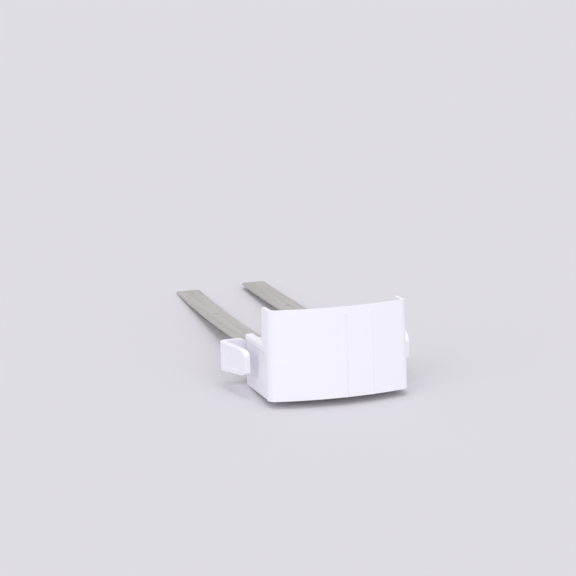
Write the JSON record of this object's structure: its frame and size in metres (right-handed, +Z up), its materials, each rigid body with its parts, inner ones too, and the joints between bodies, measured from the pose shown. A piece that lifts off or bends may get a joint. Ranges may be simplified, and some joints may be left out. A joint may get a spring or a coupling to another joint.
{
  "type": "stair gate latch",
  "caption": "Latch head with a curved white cover, sprung squeeze tabs at its sides and flat steel blades that reach out behind it.",
  "frame": {"origin": "middle of the carrier's flat rear face, at the blades' mid-thickness", "axes": "+X to the right seen from the front, +Y to the rear along the blades, +Z up; the curved face looks towards -Y"},
  "size_m": [0.1052, 0.2375, 0.048],
  "materials": {
    "cover_white": "moulded gloss",
    "tab_white": "moulded gloss",
    "inner_white": "moulded satin",
    "blade_steel": "rolled satin",
    "pin_steel": "ground",
    "spring_steel": "drawn wire",
    "clip_steel": "phosphate black",
    "plate_steel": "zinc plated",
    "screw_steel": "zinc plated",
    "insert_brass": "turned",
    "pad_rubber": "matt sheet"
  },
  "bodies": {
    "head": {"front_cover": "cover_white", "carrier": "inner_white", "bottom_cover": "inner_white", "left_pivot_pin": "pin_steel", "right_pivot_pin": "pin_steel", "left_tab_spring": "spring_steel", "right_tab_spring": "spring_steel", "pin_clips": "clip_steel", "left_blade": "blade_steel", "right_blade": "blade_steel", "left_blade_pad": "pad_rubber", "right_blade_pad": "pad_rubber", "left_clamp_plate": "plate_steel", "right_clamp_plate": "plate_steel", "blade_inserts": "insert_brass", "blade_screws": "screw_steel", "cover_screws": "screw_steel", "bottom_screws": "screw_steel"},
    "left_tab": {"left_tab": "tab_white"},
    "right_tab": {"right_tab": "tab_white"}
  },
  "joints": [
    {"name": "left_tab_hinge", "type": "hinge", "parent": "head", "child": "left_tab", "pos_m": [-0.0332, -0.0059, 0], "axis": [0, 0, 1], "range_deg": [0, 8], "stiffness_Nm_per_rad": 0.3, "springref_deg": -11.46},
    {"name": "right_tab_hinge", "type": "hinge", "parent": "head", "child": "right_tab", "pos_m": [0.0332, -0.0059, 0], "axis": [0, 0, -1], "range_deg": [0, 8], "stiffness_Nm_per_rad": 0.3, "springref_deg": -11.46}
  ]
}
